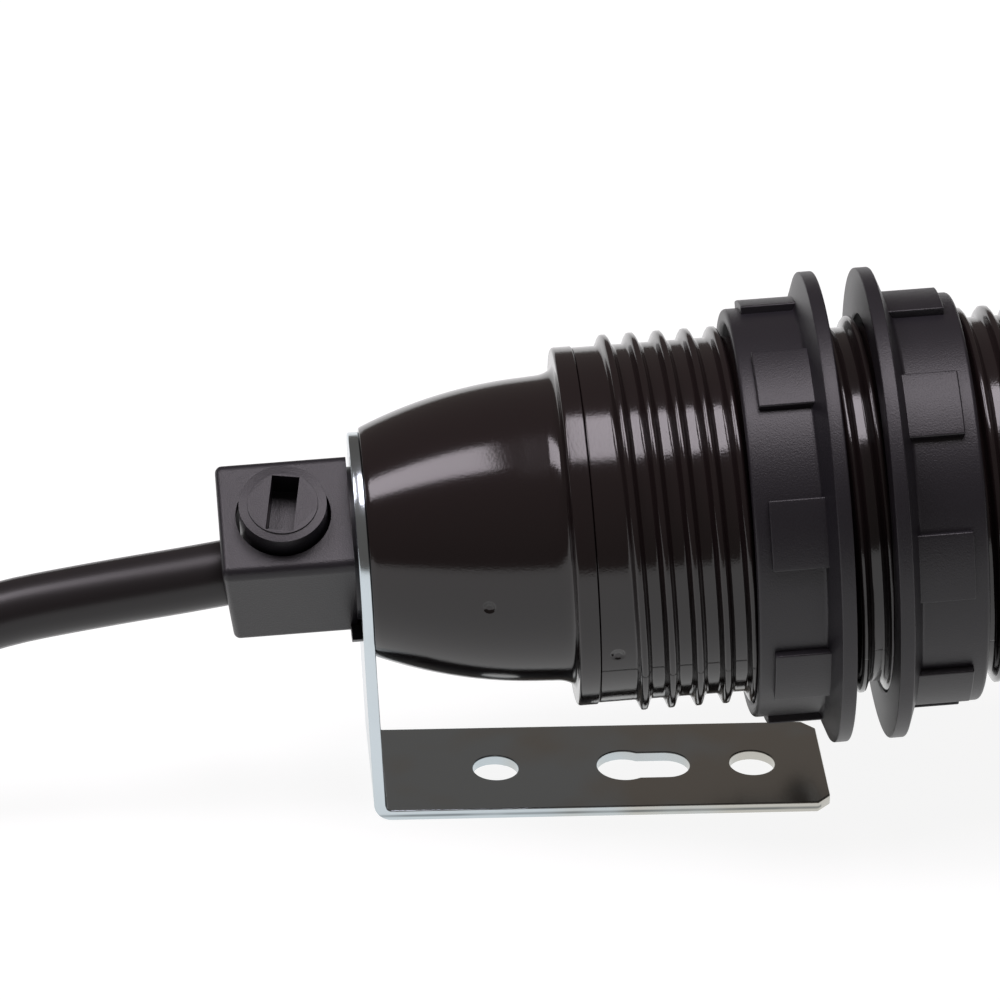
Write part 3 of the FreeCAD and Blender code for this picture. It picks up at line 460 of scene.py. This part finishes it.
def thread_tree():
    """Raises a helical round thread on the vertices that carry the thread_zone attribute."""
    labels = ("Pitch", "Crest radius", "Root radius", "First crest", "First turn", "Start", "End", "Fade",
              "Crest half", "Flank end")
    tree, given = piece_tree("Round thread", *((label, "Float") for label in labels))
    zone = add_node(tree, "GeometryNodeInputNamedAttribute", {"Name": "thread_zone"},
                    data_type="FLOAT").outputs["Attribute"]
    place = add_node(tree, "GeometryNodeInputPosition").outputs[0]
    spot = add_node(tree, "ShaderNodeSeparateXYZ", {0: place}).outputs
    # How far along the axis each point lies from the nearest crest of the helix, and where that crest is
    angle = add_node(tree, "ShaderNodeMath", {0: spot["Z"], 1: spot["Y"]}, operation="ARCTAN2").outputs[0]
    turn = add_node(tree, "ShaderNodeMath", {0: angle, 1: 2 * math.pi}, operation="DIVIDE").outputs[0]
    turned = add_node(tree, "ShaderNodeMath", {0: turn, 1: given["First turn"]},
                      operation="SUBTRACT").outputs[0]
    along = add_node(tree, "ShaderNodeMath", {0: spot["X"], 1: given["First crest"]},
                     operation="SUBTRACT").outputs[0]
    pitches = add_node(tree, "ShaderNodeMath", {0: along, 1: given["Pitch"]}, operation="DIVIDE").outputs[0]
    phase = add_node(tree, "ShaderNodeMath", {0: pitches, 1: turned}, operation="SUBTRACT").outputs[0]
    nearest = add_node(tree, "ShaderNodeMath", {0: phase}, operation="ROUND").outputs[0]
    rest = add_node(tree, "ShaderNodeMath", {0: phase, 1: nearest}, operation="SUBTRACT").outputs[0]
    off = add_node(tree, "ShaderNodeMath", {0: rest, 1: given["Pitch"]}, operation="MULTIPLY").outputs[0]
    crest_at = add_node(tree, "ShaderNodeMath", {0: spot["X"], 1: off}, operation="SUBTRACT").outputs[0]
    away = add_node(tree, "ShaderNodeMath", {0: off}, operation="ABSOLUTE").outputs[0]
    # The thread's round form, and how it fades at both ends
    form = add_node(tree, "ShaderNodeMapRange", {
        "Value": away, "From Min": given["Crest half"], "From Max": given["Flank end"],
        "To Min": 1.0, "To Max": 0.0}, interpolation_type="SMOOTHSTEP").outputs[0]
    start_full = add_node(tree, "ShaderNodeMath", {0: given["Start"], 1: given["Fade"]},
                          operation="ADD").outputs[0]
    rise = add_node(tree, "ShaderNodeMapRange", {
        "Value": crest_at, "From Min": given["Start"], "From Max": start_full}).outputs[0]
    end_full = add_node(tree, "ShaderNodeMath", {0: given["End"], 1: given["Fade"]},
                        operation="SUBTRACT").outputs[0]
    fall = add_node(tree, "ShaderNodeMapRange", {
        "Value": crest_at, "From Min": given["End"], "From Max": end_full}).outputs[0]
    ends = add_node(tree, "ShaderNodeMath", {0: rise, 1: fall}, operation="MULTIPLY").outputs[0]
    share = add_node(tree, "ShaderNodeMath", {0: form, 1: ends}, operation="MULTIPLY").outputs[0]
    shown = add_node(tree, "ShaderNodeMath", {0: share, 1: zone}, operation="MULTIPLY").outputs[0]
    # Each point moves away from the axis by its share of the thread's depth
    depth = add_node(tree, "ShaderNodeMath", {0: given["Crest radius"], 1: given["Root radius"]},
                     operation="SUBTRACT").outputs[0]
    lift = add_node(tree, "ShaderNodeMath", {0: shown, 1: depth}, operation="MULTIPLY").outputs[0]
    grown = add_node(tree, "ShaderNodeMath", {0: lift, 1: given["Root radius"]},
                     operation="DIVIDE").outputs[0]
    across = add_node(tree, "ShaderNodeCombineXYZ", {"Y": spot["Y"], "Z": spot["Z"]}).outputs[0]
    offset = add_node(tree, "ShaderNodeVectorMath", {0: across, "Scale": grown}, operation="SCALE").outputs[0]
    moved = add_node(tree, "GeometryNodeSetPosition", {"Geometry": given["Geometry"], "Offset": offset})
    return finish_tree(tree, moved.outputs[0], given["Finish"])


def lug_tree():
    """Sets copies of one lug round the lamp axis and joins them to the ring."""
    tree, given = piece_tree("Ring lugs", ("Lug", "Object"), ("Count", "Int"), ("Turn", "Float"))
    lug = add_node(tree, "GeometryNodeObjectInfo", {"Object": given["Lug"]})
    spots = add_node(tree, "GeometryNodePoints", {"Count": given["Count"]})
    index = add_node(tree, "GeometryNodeInputIndex").outputs[0]
    step = add_node(tree, "ShaderNodeMath", {0: 2 * math.pi, 1: given["Count"]},
                    operation="DIVIDE").outputs[0]
    angle = add_node(tree, "ShaderNodeMath", {0: index, 1: step, 2: given["Turn"]},
                     operation="MULTIPLY_ADD").outputs[0]
    turn = add_node(tree, "ShaderNodeCombineXYZ", {"X": angle}).outputs[0]
    copies = add_node(tree, "GeometryNodeInstanceOnPoints", {
        "Points": spots.outputs[0], "Instance": lug.outputs["Geometry"], "Rotation": turn})
    joined = add_node(tree, "GeometryNodeJoinGeometry")
    tree.links.new(copies.outputs[0], joined.inputs[0])
    tree.links.new(given["Geometry"], joined.inputs[0])
    return finish_tree(tree, joined.outputs[0], given["Finish"])


def mark_thread_zone(mesh, low, high, least_radius):
    """Marks a wall's vertices between two stations as carrying the thread."""
    zone = mesh.attributes.new("thread_zone", "FLOAT", "POINT")
    for vertex in mesh.vertices:
        x, y, z = vertex.co
        zone.data[vertex.index].value = float(low <= x <= high and math.hypot(y, z) >= least_radius)


def threaded(obj, **values):
    """Raises the thread on an object's marked vertices; returns its own mesh."""
    modifier = obj.modifiers.new("Thread", "NODES")
    modifier.node_group = bpy.data.node_groups.get("Round thread") or thread_tree()
    give(modifier, **values)
    return made_plain(obj)


def stations(start, end, step):
    """Evenly spaced stations from start to end, both included."""
    count = max(1, round(abs(end - start) / step))
    return [start + (end - start) * i / count for i in range(count + 1)]


def coil_points(sizes, per_turn=48, layers=5, turns_per_layer=1.1):
    """The oblong coil's turns: inwards on the odd layers and outwards on the even ones, layer upon layer."""
    near_x = LEAD_ROUTE[-1][0]
    fold_radius = TAIL_ROUTE[0][1]
    base = TAIL_ROUTE[0][2] - (layers - 1) * sizes.turn_pitch
    mean_radius = fold_radius + turns_per_layer * sizes.turn_pitch / 2
    run_share = sizes.coil_run / (2 * sizes.coil_run + 2 * math.pi * mean_radius)
    climb_turns = 0.07
    points = []
    for step in range(1, round(layers * turns_per_layer * per_turn)):
        turns = step / per_turn
        layer = int(turns / turns_per_layer)
        wound = turns - layer * turns_per_layer
        inwards = layer % 2 == 0
        radius = fold_radius + sizes.turn_pitch * (turns_per_layer - wound if inwards else wound)
        nearest = min(max(round(turns / turns_per_layer), 1), layers - 1)
        rise = min(max((turns - nearest * turns_per_layer) / (2 * climb_turns) + 0.5, 0.0), 1.0)
        height = base + sizes.turn_pitch * (nearest - 1 + rise * rise * (3 - 2 * rise))
        half, part = divmod(2 * (turns % 1.0), 1.0)
        side = -1.0 if half == 0 else 1.0
        along = min(part / 2, run_share) / run_share * sizes.coil_run
        angle = math.pi * max(part / 2 - run_share, 0.0) / (0.5 - run_share)
        start = near_x if half == 0 else near_x - sizes.coil_run
        x = start + side * (along + radius * math.sin(angle))
        points.append((x, side * radius * math.cos(angle), height))
    return points


def graded_light(lamp, first, last):
    """Grades a softbox's strength from one end to the other, as a tube off its middle does."""
    lamp.use_nodes = True
    tree = lamp.node_tree
    tree.nodes.clear()
    spread = add_node(tree, "ShaderNodeNewGeometry").outputs["Parametric"]
    across = add_node(tree, "ShaderNodeSeparateXYZ", {0: spread}).outputs["X"]
    power = add_node(tree, "ShaderNodeMapRange", {"Value": across, "To Min": first, "To Max": last})
    glow = add_node(tree, "ShaderNodeEmission", {"Strength": power.outputs[0]})
    add_node(tree, "ShaderNodeOutputLight", {"Surface": glow.outputs[0]})


class HOLDER_OT_stage(bpy.types.Operator):
    """Camera, pale floor and soft studio light"""

    bl_idname = "lamp_holder.stage"
    bl_label = "Stage"

    def execute(self, context):
        context.scene.view_settings.view_transform = "Standard"
        self.camera(context.scene)
        self.floor()
        self.lights(context.scene)
        return {"FINISHED"}

    def camera(self, scene):
        """A long lens that looks down on the holder from its front."""
        camera = bpy.data.cameras.new("Camera")
        camera.sensor_width = EYE_SENSOR
        camera.lens = EYE_LENS
        camera.clip_start = 10 * MM
        eye = add_object("Camera", camera)
        turn = Matrix((EYE_RIGHT, EYE_UP, EYE_BACK)).transposed()
        eye.matrix_world = Matrix.Translation(EYE_PLACE) @ turn.to_4x4()
        scene.camera = eye

    def floor(self):
        """White seamless paper, lifted for the eye and for reflections, so that it stays white."""
        reach, lifted = 6.0, 0.9
        material, tree = empty_material("White paper")
        ray = add_node(tree, "ShaderNodeLightPath").outputs
        seen = add_node(tree, "ShaderNodeMath", {0: ray["Is Camera Ray"], 1: ray["Is Glossy Ray"]},
                        operation="MAXIMUM").outputs[0]
        also = add_node(tree, "ShaderNodeMath", {0: seen, 1: ray["Is Transmission Ray"]},
                        operation="MAXIMUM").outputs[0]
        lift = add_node(tree, "ShaderNodeMath", {0: also, 1: lifted}, operation="MULTIPLY").outputs[0]
        paper = add_node(tree, "ShaderNodeBsdfDiffuse", {"Color": srgb("#787878")})
        glow = add_node(tree, "ShaderNodeEmission", {"Color": srgb("#ffffff"), "Strength": lift})
        both = add_node(tree, "ShaderNodeAddShader", {0: paper.outputs[0], 1: glow.outputs[0]})
        add_node(tree, "ShaderNodeOutputMaterial", {"Surface": both.outputs[0]})
        sheet = bpy.data.meshes.new("Floor")
        corners = [(-reach, -reach, 0), (reach, -reach, 0), (reach, reach, 0), (-reach, reach, 0)]
        sheet.from_pydata(corners, [], [(0, 1, 2, 3)])
        add_object("Floor", sheet, material)

    def lights(self, scene):
        """A dim room and two softboxes overhead."""
        world = bpy.data.worlds.new("Studio")
        world.use_nodes = True
        world.node_tree.nodes["Background"].inputs["Color"].default_value = srgb("#645f5c")
        scene.world = world
        for name, place, size, watts, ends in (
                ("Left_softbox", (-0.428, 0.0, 0.62), (0.544, 0.24), 2.4, (1.18, 1.07)),
                ("Right_softbox", (0.071, -0.03, 0.62), (0.218, 0.34), 1.68, (1.0, 1.0))):
            lamp = bpy.data.lights.new(name, "AREA")
            lamp.shape = "RECTANGLE"
            lamp.size, lamp.size_y = size
            lamp.energy = watts
            lamp.color = srgb("#fff6ff")[:3]
            graded_light(lamp, *ends)
            add_object(name, lamp).location = place


class HOLDER_OT_lead(bpy.types.Operator):
    """The lead: sheath from the grip to the plug, with its coil"""

    bl_idname = "lamp_holder.lead"
    bl_label = "Lead"

    def execute(self, context):
        sizes = context.scene.lamp_holder_sizes
        route = [SHEATH_START, *LEAD_ROUTE, *coil_points(sizes), *TAIL_ROUTE]
        curve = bpy.data.curves.new("Lead", "CURVE")
        curve.dimensions = "3D"
        spline = curve.splines.new("NURBS")
        spline.points.add(len(route) - 1)
        for point, spot in zip(spline.points, route):
            point.co = (*spot, 1.0)
        spline.order_u = 3
        spline.use_endpoint_u = True
        spline.resolution_u = 6
        curve.bevel_depth = sizes.cord_diameter / 2
        curve.bevel_resolution = 7
        curve.use_fill_caps = True
        lead = add_object("Lead", curve, pvc_sheath(context.scene.lamp_holder_finishes))
        settle(lead, "holder", "black_sheath", "cord_lead", "cord_coil", "cord_tail")
        return {"FINISHED"}


class HOLDER_OT_bracket(bpy.types.Operator):
    """The bent steel bracket"""

    bl_idname = "lamp_holder.bracket"
    bl_label = "Bracket"

    def execute(self, context):
        material = zinc_plate(context.scene.lamp_holder_finishes)
        bracket = dressed("bracket", material, BRACKET_EDGE, whole_flats=True)
        settle(bracket, "holder", "zinc_plated_steel", "bracket")
        return {"FINISHED"}


class HOLDER_OT_cap(bpy.types.Operator):
    """The glossy domed cap"""

    bl_idname = "lamp_holder.cap"
    bl_label = "Cap"

    def execute(self, context):
        sizes = context.scene.lamp_holder_sizes
        rim_start, rim_edge, seam_edge = 14.7 * MM, 0.25 * MM, 0.08 * MM
        neck_end, neck_radius, neck_bore, neck_edge = 21.5 * MM, 11.35 * MM, 9.75 * MM, 0.2 * MM
        floor, hole, back, back_edge = 6.5 * MM, 5.08 * MM, 0.25 * MM, 0.1 * MM
        # The first corner only leads into the rim's rounding; the inside follows the dome in straight steps
        rim = rounded([
            (rim_start, 11.0 * MM, 0), (rim_start, sizes.rim_radius, rim_edge),
            (sizes.seam, sizes.rim_radius, seam_edge), (sizes.seam, neck_radius, 0),
            (neck_end, neck_radius, neck_edge), (neck_end, neck_bore, neck_edge), (14.6 * MM, neck_bore, 0),
            (13.6 * MM, 9.45 * MM, 0), (6.9 * MM, 8.63 * MM, 0), (floor, 8.2 * MM, 0),
            (floor, hole, 0), (back, hole, 0), (back, 8.38 * MM, back_edge)])
        mesh = spun_mesh("Cap", [*self.dome(), *rim[1:]])
        mesh.set_sharp_from_angle(angle=math.radians(50))
        mesh.transform(HOLDER)
        material = gloss_phenolic(context.scene.lamp_holder_finishes, GATE_MARK, GATE_RADIUS)
        cap = even_shading(add_object("Cap", mesh, material))
        settle(cap, "holder", "gloss_black_phenolic", "cap")
        return {"FINISHED"}

    def dome(self):
        """The dome's arc, the short cone that follows it, and the two arcs of its root."""
        cone_start, root_start = 12.1 * MM, 13.45 * MM
        arc = arc_points((0.4 * MM, 8.45 * MM), (6.8 * MM, 10.45 * MM), (13.7 * MM, 11.17 * MM), steps=40)
        points = [point for point in arc if point.x < cone_start]
        run = points[-1] - points[-2]
        points.append(Vector((root_start, points[-1].y + run.y / run.x * (root_start - points[-1].x))))
        for radius, first, last in ((2.2 * MM, 3.0, 25.0), (0.75 * MM, 25.0, 90.0)):
            foot, lean = points[-1], math.radians(first)
            for turned in stations(lean, math.radians(last), math.radians(5.0))[1:]:
                points.append(foot + radius * Vector((
                    math.sin(turned) - math.sin(lean), math.cos(lean) - math.cos(turned))))
        return points


class HOLDER_OT_shell(bpy.types.Operator):
    """The barrel with its outside thread"""

    bl_idname = "lamp_holder.shell"
    bl_label = "Barrel"

    def execute(self, context):
        sizes = context.scene.lamp_holder_sizes
        start, band_end, ledge, lip_start = sizes.seam + 0.05 * MM, 17.75 * MM, 23.25 * MM, 52.4 * MM
        bore, rear_bore, lip_radius, thread_floor = 10.2 * MM, 11.5 * MM, 12.8 * MM, 12.9 * MM
        rear_edge, lip_edge, inset = 0.1 * MM, 0.5 * MM, 0.01 * MM
        outer = [(station, sizes.thread_root) for station in stations(band_end, lip_start, 0.125 * MM)]
        ends = rounded([
            (lip_start, sizes.thread_root, 0), (lip_start, lip_radius, 0),
            (sizes.mouth, lip_radius, lip_edge), (sizes.mouth, bore, lip_edge), (ledge, bore, 0),
            (ledge, rear_bore, 0), (start, rear_bore, rear_edge), (start, sizes.thread_root, rear_edge),
            (band_end, sizes.thread_root, 0)])
        # A row of points close to the rear edge keeps the band's shading straight
        band_foot = (start + 0.14 * MM, sizes.thread_root)
        mesh = spun_mesh("Barrel", [*outer, *ends[1:-1], band_foot])
        mark_thread_zone(mesh, band_end + inset, lip_start - inset, thread_floor)
        shell = add_object("Barrel", mesh)
        finishes = context.scene.lamp_holder_finishes
        material = gloss_phenolic(finishes, EJECTOR_MARK, EJECTOR_RADIUS, parted=True)
        mesh = threaded(
            shell, pitch=sizes.thread_pitch, crest_radius=sizes.thread_crest, root_radius=sizes.thread_root,
            first_crest=sizes.thread_first, first_turn=60 / 360, start=sizes.thread_start,
            end=sizes.thread_end, fade=0.15 * MM, crest_half=0.14 * MM, flank_end=0.60 * MM, finish=material)
        mesh.set_sharp_from_angle(angle=math.radians(60))
        mesh.transform(HOLDER)
        settle(shell, "barrel", "gloss_black_phenolic", "shell")
        return {"FINISHED"}


class HOLDER_OT_rings(bpy.types.Operator):
    """The two flanged shade rings"""

    bl_idname = "lamp_holder.rings"
    bl_label = "Shade rings"

    def execute(self, context):
        sizes = context.scene.lamp_holder_sizes
        material = satin_nylon(context.scene.lamp_holder_finishes)
        tree = lug_tree()
        # A ring reaches from its flange's flat face towards its side, and its lugs are turned by some degrees
        for name, face, side, turn, body, node in (
                ("Inner_ring", 0.03425, -1, 23.2, "inner_ring", "inner_shade_ring"),
                ("Outer_ring", 0.0373, 1, 11.0, "outer_ring", "outer_shade_ring")):
            ring = self.ring(sizes, tree, material, name, face, side, turn)
            settle(ring, body, "satin_black_nylon", node)
        return {"FINISHED"}

    def ring(self, sizes, tree, material, name, face, side, turn):
        """One ring: a flange, a cone behind it and a barrel with lugs."""
        bore_edge, flange_edge, barrel_edge, end_edge = 0.15 * MM, 0.14 * MM, 0.3 * MM, 0.35 * MM
        flange, cone, lug_setback = 1.05 * MM, 1.9 * MM, 1.1 * MM
        back, cone_end, end = face + side * flange, face + side * cone, face + side * sizes.ring_length
        outline = rounded([
            (face, sizes.ring_bore, bore_edge), (face, sizes.ring_flange, flange_edge),
            (back, sizes.ring_flange, flange_edge), (cone_end, sizes.ring_barrel, barrel_edge),
            (end, sizes.ring_barrel, barrel_edge), (end, sizes.ring_bore, end_edge)])
        ring = add_object(name, spun_mesh(name, outline))
        lug = self.lug(sizes, back, end - side * lug_setback)
        modifier = ring.modifiers.new("Lugs", "NODES")
        modifier.node_group = tree
        # A turn grows from the front towards the top, against the axis's own right-hand turn
        give(modifier, lug=lug, count=sizes.ring_lugs, turn=math.radians(180 - turn), finish=material)
        mesh = made_plain(ring)
        bpy.data.objects.remove(lug)
        mesh.set_sharp_from_angle(angle=math.radians(50))
        mesh.transform(HOLDER)
        return even_shading(ring)

    def lug(self, sizes, back, end):
        """One lug about the direction of +Y, closed, with rounded edges."""
        foot, edge, half, steps = 14.6 * MM, 0.12 * MM, math.radians(9.5), 12
        low, high = sorted((back, end))
        verts = []
        for step in range(steps + 1):
            angle = -half + 2 * half * step / steps
            c, s = math.cos(angle), math.sin(angle)
            for x, r in ((low, foot), (high, foot), (high, sizes.ring_lug), (low, sizes.ring_lug)):
                verts.append((x, r * c, r * s))
        faces = [(0, 1, 2, 3), tuple(steps * 4 + i for i in range(4))]
        for step in range(steps):
            for i in range(4):
                a, b = step * 4 + i, step * 4 + (i + 1) % 4
                faces.append((a, b, b + 4, a + 4))
        mesh = bpy.data.meshes.new("Lug")
        mesh.from_pydata(verts, [], faces)
        fix_normals(mesh)
        obj = add_object("Lug", mesh)
        bevel = obj.modifiers.new("Edges", "BEVEL")
        bevel.width = edge
        bevel.segments = 3
        bevel.limit_method = "ANGLE"
        bevel.angle_limit = math.radians(40)
        return obj


class HOLDER_OT_grip(bpy.types.Operator):
    """The cord grip and its clamp screw"""

    bl_idname = "lamp_holder.grip"
    bl_label = "Cord grip"

    def execute(self, context):
        material = satin_nylon(context.scene.lamp_holder_finishes)
        grip = dressed("cord_grip", material, GRIP_EDGE, whole_flats=True)
        settle(grip, "holder", "satin_black_nylon", "cord_grip")
        screw = dressed("grip_screw", material, GRIP_EDGE)
        settle(screw, "clamp_screw", "satin_black_nylon", "grip_screw")
        return {"FINISHED"}


class HOLDER_OT_socket(bpy.types.Operator):
    """The insulator, the lamp thread, the contacts and the cores"""

    bl_idname = "lamp_holder.socket"
    bl_label = "Socket"

    def execute(self, context):
        finishes = context.scene.lamp_holder_finishes
        # A matt moulding, brass and plated screws that mirror softly, and two cores of coloured PVC
        fine = (0.2 * MM, 0.1, 0.03 * MM)
        moulding = simple_material("Matt moulding", srgb("#302e2e"), roughness=0.55, texture=fine)
        brass = simple_material("Pressed brass", finishes.brass, roughness=0.3, metallic=1.0)
        steel = simple_material("Plated steel", srgb("#b9bbbe"), roughness=0.3, metallic=1.0)
        brown = simple_material("Brown core PVC", srgb("#5a3a22"), roughness=0.45)
        blue = simple_material("Blue core PVC", srgb("#2a5c9e"), roughness=0.45)
        for node, material, body, slot in (
                ("insulator", moulding, "holder", "insulator_moulding"),
                ("live_terminal", brass, "holder", "contact_brass"),
                ("neutral_terminal", brass, "holder", "contact_brass"),
                ("live_terminal_screw", steel, "live_screw", "screw_steel"),
                ("neutral_terminal_screw", steel, "neutral_screw", "screw_steel"),
                ("centre_contact", brass, "holder", "contact_brass"),
                ("contact_rivet", brass, "holder", "contact_brass"),
                ("live_core", brown, "holder", "brown_core"),
                ("neutral_core", blue, "holder", "blue_core")):
            settle(dressed(node, material, SOCKET_EDGE), body, slot, node)
        self.sleeve(context.scene.lamp_holder_sizes, brass)
        return {"FINISHED"}

    def sleeve(self, sizes, brass):
        """The lamp's thread, rolled inwards into a thin sleeve."""
        start, end, step = 29.2 * MM, 43.0 * MM, 0.2 * MM
        outer, inner, thread_floor = 7.45 * MM, 7.10 * MM, 7.0 * MM
        wall = [(station, outer) for station in stations(start, end, step)]
        bore = [(station, inner) for station in stations(end, start, step)]
        mesh = spun_mesh("Lamp_sleeve", [*wall, *bore], segments=96)
        mark_thread_zone(mesh, start, end, thread_floor)
        sleeve = add_object("Lamp_sleeve", mesh)
        mesh = threaded(
            sleeve, pitch=sizes.lamp_pitch, crest_radius=6.75 * MM, root_radius=outer, first_crest=31.6 * MM,
            first_turn=0.0, start=30.2 * MM, end=42.4 * MM, fade=0.8 * MM, crest_half=0.15 * MM,
            flank_end=1.3 * MM, finish=brass)
        mesh.set_sharp_from_angle(angle=math.radians(50))
        mesh.transform(HOLDER)
        settle(sleeve, "holder", "contact_brass", "lamp_sleeve")


class HOLDER_OT_plug(bpy.types.Operator):
    """The plug and the coil's tie"""

    bl_idname = "lamp_holder.plug"
    bl_label = "Plug and tie"

    def execute(self, context):
        # A fine-textured moulding, nickel plate that mirrors, and a woven strap without gloss
        fine, weave = (0.3 * MM, 0.15, 0.03 * MM), (0.5 * MM, 0.5, 0.1 * MM)
        moulding = simple_material("Moulded plug PVC", srgb("#222021"), roughness=0.42, texture=fine)
        nickel = simple_material("Nickel plate", srgb("#c9c6bf"), roughness=0.2, metallic=1.0)
        strap = simple_material("Woven strap", srgb("#262526"), roughness=0.8, texture=weave)
        plug = dressed("plug_body", moulding, PLUG_EDGE, angle=20.0, whole_flats=True, shortest=2.5 * MM)
        settle(plug, "holder", "plug_moulding", "plug_body")
        settle(dressed("plug_pins", nickel, PIN_EDGE), "holder", "plated_pins", "plug_pins")
        settle(dressed("coil_tie", strap, TIE_EDGE), "holder", "tie_strap", "coil_tie")
        return {"FINISHED"}


class HOLDER_PT_panel(bpy.types.Panel):
    """The pieces, in the order in which they are made"""

    bl_idname = "HOLDER_PT_panel"
    bl_label = "Lamp holder"
    bl_space_type = "VIEW_3D"
    bl_region_type = "UI"
    bl_category = "Lamp holder"

    def draw(self, context):
        for step in STEPS:
            self.layout.operator(step.bl_idname)
        for group in (context.scene.lamp_holder_sizes, context.scene.lamp_holder_finishes):
            for name in group.__annotations__:
                self.layout.prop(group, name)


STEPS = (HOLDER_OT_stage, HOLDER_OT_plug, HOLDER_OT_lead, HOLDER_OT_bracket, HOLDER_OT_cap, HOLDER_OT_shell,
         HOLDER_OT_rings, HOLDER_OT_grip, HOLDER_OT_socket)
CLASSES = (HolderSizes, HolderFinishes, *STEPS, HOLDER_PT_panel)


def register():
    """Registers the classes and gives every scene the holder's sizes and finishes."""
    for cls in CLASSES:
        bpy.utils.register_class(cls)
    bpy.types.Scene.lamp_holder_sizes = PointerProperty(type=HolderSizes)
    bpy.types.Scene.lamp_holder_finishes = PointerProperty(type=HolderFinishes)


def unregister():
    """Takes the settings and the classes away again."""
    del bpy.types.Scene.lamp_holder_finishes
    del bpy.types.Scene.lamp_holder_sizes
    for cls in reversed(CLASSES):
        bpy.utils.unregister_class(cls)


def main():
    """Makes the pieces in order."""
    register()
    for step in STEPS:
        group, name = step.bl_idname.split(".")
        getattr(getattr(bpy.ops, group), name)()


if __name__ == "__main__":
    main()
